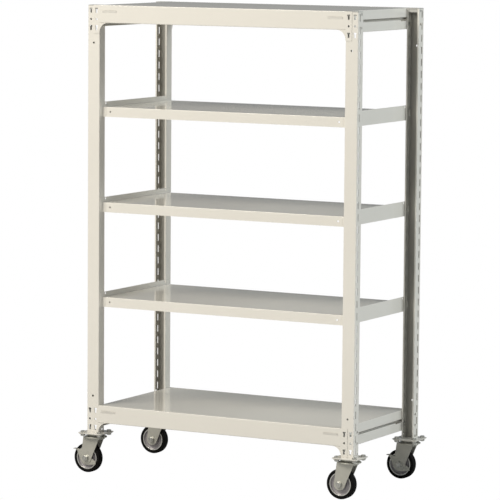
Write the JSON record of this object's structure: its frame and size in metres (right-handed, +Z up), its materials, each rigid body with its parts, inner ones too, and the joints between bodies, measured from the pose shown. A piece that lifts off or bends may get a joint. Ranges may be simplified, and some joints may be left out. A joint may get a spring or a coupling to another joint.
{
  "type": "mobile shelving",
  "caption": "Steel mobile shelving: slotted channel posts, arched end beams, level shelves on hooked side rails and swivel casters, two with brakes.",
  "frame": {"origin": "on the floor, at the middle of the whole outline seen from above; the rack's own middle is 21.25 mm to +X, because the wheels trail to -X", "axes": "+X to the right along the shelves, +Y from front to back, +Z up"},
  "size_m": [1.3586, 0.662, 1.975],
  "materials": {
    "paint": "glossy warm white enamel",
    "cap_plastic": "satin moulded plastic",
    "zinc": "bright zinc plating",
    "caster_steel": "zinc plated pressed steel",
    "hub": "satin grey moulded hub",
    "tyre": "smooth black rubber"
  },
  "bodies": {
    "rack": {"post_front_left": "paint", "post_cap_front_left": "cap_plastic", "post_front_right": "paint", "post_cap_front_right": "cap_plastic", "post_back_left": "paint", "post_cap_back_left": "cap_plastic", "post_back_right": "paint", "post_cap_back_right": "cap_plastic", "arch_beam_top_front": "paint", "arch_beam_top_back": "paint", "arch_beam_bottom_front": "paint", "arch_beam_bottom_back": "paint", "shelf_top": "paint", "side_rail_top_left": "paint", "side_rail_top_right": "paint", "shelf_upper": "paint", "side_rail_upper_left": "paint", "side_rail_upper_right": "paint", "shelf_middle": "paint", "side_rail_middle_left": "paint", "side_rail_middle_right": "paint", "shelf_lower": "paint", "side_rail_lower_left": "paint", "side_rail_lower_right": "paint", "shelf_bottom": "paint", "side_rail_bottom_left": "paint", "side_rail_bottom_right": "paint", "rail_bolts": "zinc", "rail_nuts": "zinc", "foot_plate_front_left": "paint", "caster_plate_front_left": "caster_steel", "foot_plate_front_right": "paint", "caster_plate_front_right": "caster_steel", "foot_plate_back_left": "paint", "caster_plate_back_left": "caster_steel", "foot_plate_back_right": "paint", "caster_plate_back_right": "caster_steel", "foot_bolts": "zinc", "foot_nuts": "zinc"},
    "caster_front_left": {"caster_fork_front_left": "caster_steel", "axle_front_left": "zinc"},
    "wheel_front_left": {"wheel_hub_front_left": "hub", "tyre_front_left": "tyre"},
    "brake_front_left": {"brake_lever_front_left": "caster_steel"},
    "caster_front_right": {"caster_fork_front_right": "caster_steel", "axle_front_right": "zinc"},
    "wheel_front_right": {"wheel_hub_front_right": "hub", "tyre_front_right": "tyre"},
    "caster_back_left": {"caster_fork_back_left": "caster_steel", "axle_back_left": "zinc"},
    "wheel_back_left": {"wheel_hub_back_left": "hub", "tyre_back_left": "tyre"},
    "caster_back_right": {"caster_fork_back_right": "caster_steel", "axle_back_right": "zinc"},
    "wheel_back_right": {"wheel_hub_back_right": "hub", "tyre_back_right": "tyre"},
    "brake_back_right": {"brake_lever_back_right": "caster_steel"}
  },
  "joints": [
    {"name": "swivel_front_left", "type": "hinge", "parent": "rack", "child": "caster_front_left", "pos_m": [-0.58075, -0.275, 0.15], "axis": [0, 0, 1], "continuous": true},
    {"name": "wheel_spin_front_left", "type": "hinge", "parent": "caster_front_left", "child": "wheel_front_left", "pos_m": [-0.61675, -0.275, 0.0625], "axis": [0, 1, 0], "continuous": true},
    {"name": "brake_front_left", "type": "hinge", "parent": "caster_front_left", "child": "brake_front_left", "pos_m": [-0.61675, -0.275, 0.0625], "axis": [0, -1, 0], "range_deg": [0, 20]},
    {"name": "swivel_front_right", "type": "hinge", "parent": "rack", "child": "caster_front_right", "pos_m": [0.62325, -0.275, 0.15], "axis": [0, 0, 1], "continuous": true},
    {"name": "wheel_spin_front_right", "type": "hinge", "parent": "caster_front_right", "child": "wheel_front_right", "pos_m": [0.58725, -0.275, 0.0625], "axis": [0, 1, 0], "continuous": true},
    {"name": "swivel_back_left", "type": "hinge", "parent": "rack", "child": "caster_back_left", "pos_m": [-0.58075, 0.275, 0.15], "axis": [0, 0, 1], "continuous": true},
    {"name": "wheel_spin_back_left", "type": "hinge", "parent": "caster_back_left", "child": "wheel_back_left", "pos_m": [-0.61675, 0.275, 0.0625], "axis": [0, 1, 0], "continuous": true},
    {"name": "swivel_back_right", "type": "hinge", "parent": "rack", "child": "caster_back_right", "pos_m": [0.62325, 0.275, 0.15], "axis": [0, 0, 1], "continuous": true},
    {"name": "wheel_spin_back_right", "type": "hinge", "parent": "caster_back_right", "child": "wheel_back_right", "pos_m": [0.58725, 0.275, 0.0625], "axis": [0, 1, 0], "continuous": true},
    {"name": "brake_back_right", "type": "hinge", "parent": "caster_back_right", "child": "brake_back_right", "pos_m": [0.58725, 0.275, 0.0625], "axis": [0, -1, 0], "range_deg": [0, 20]}
  ]
}
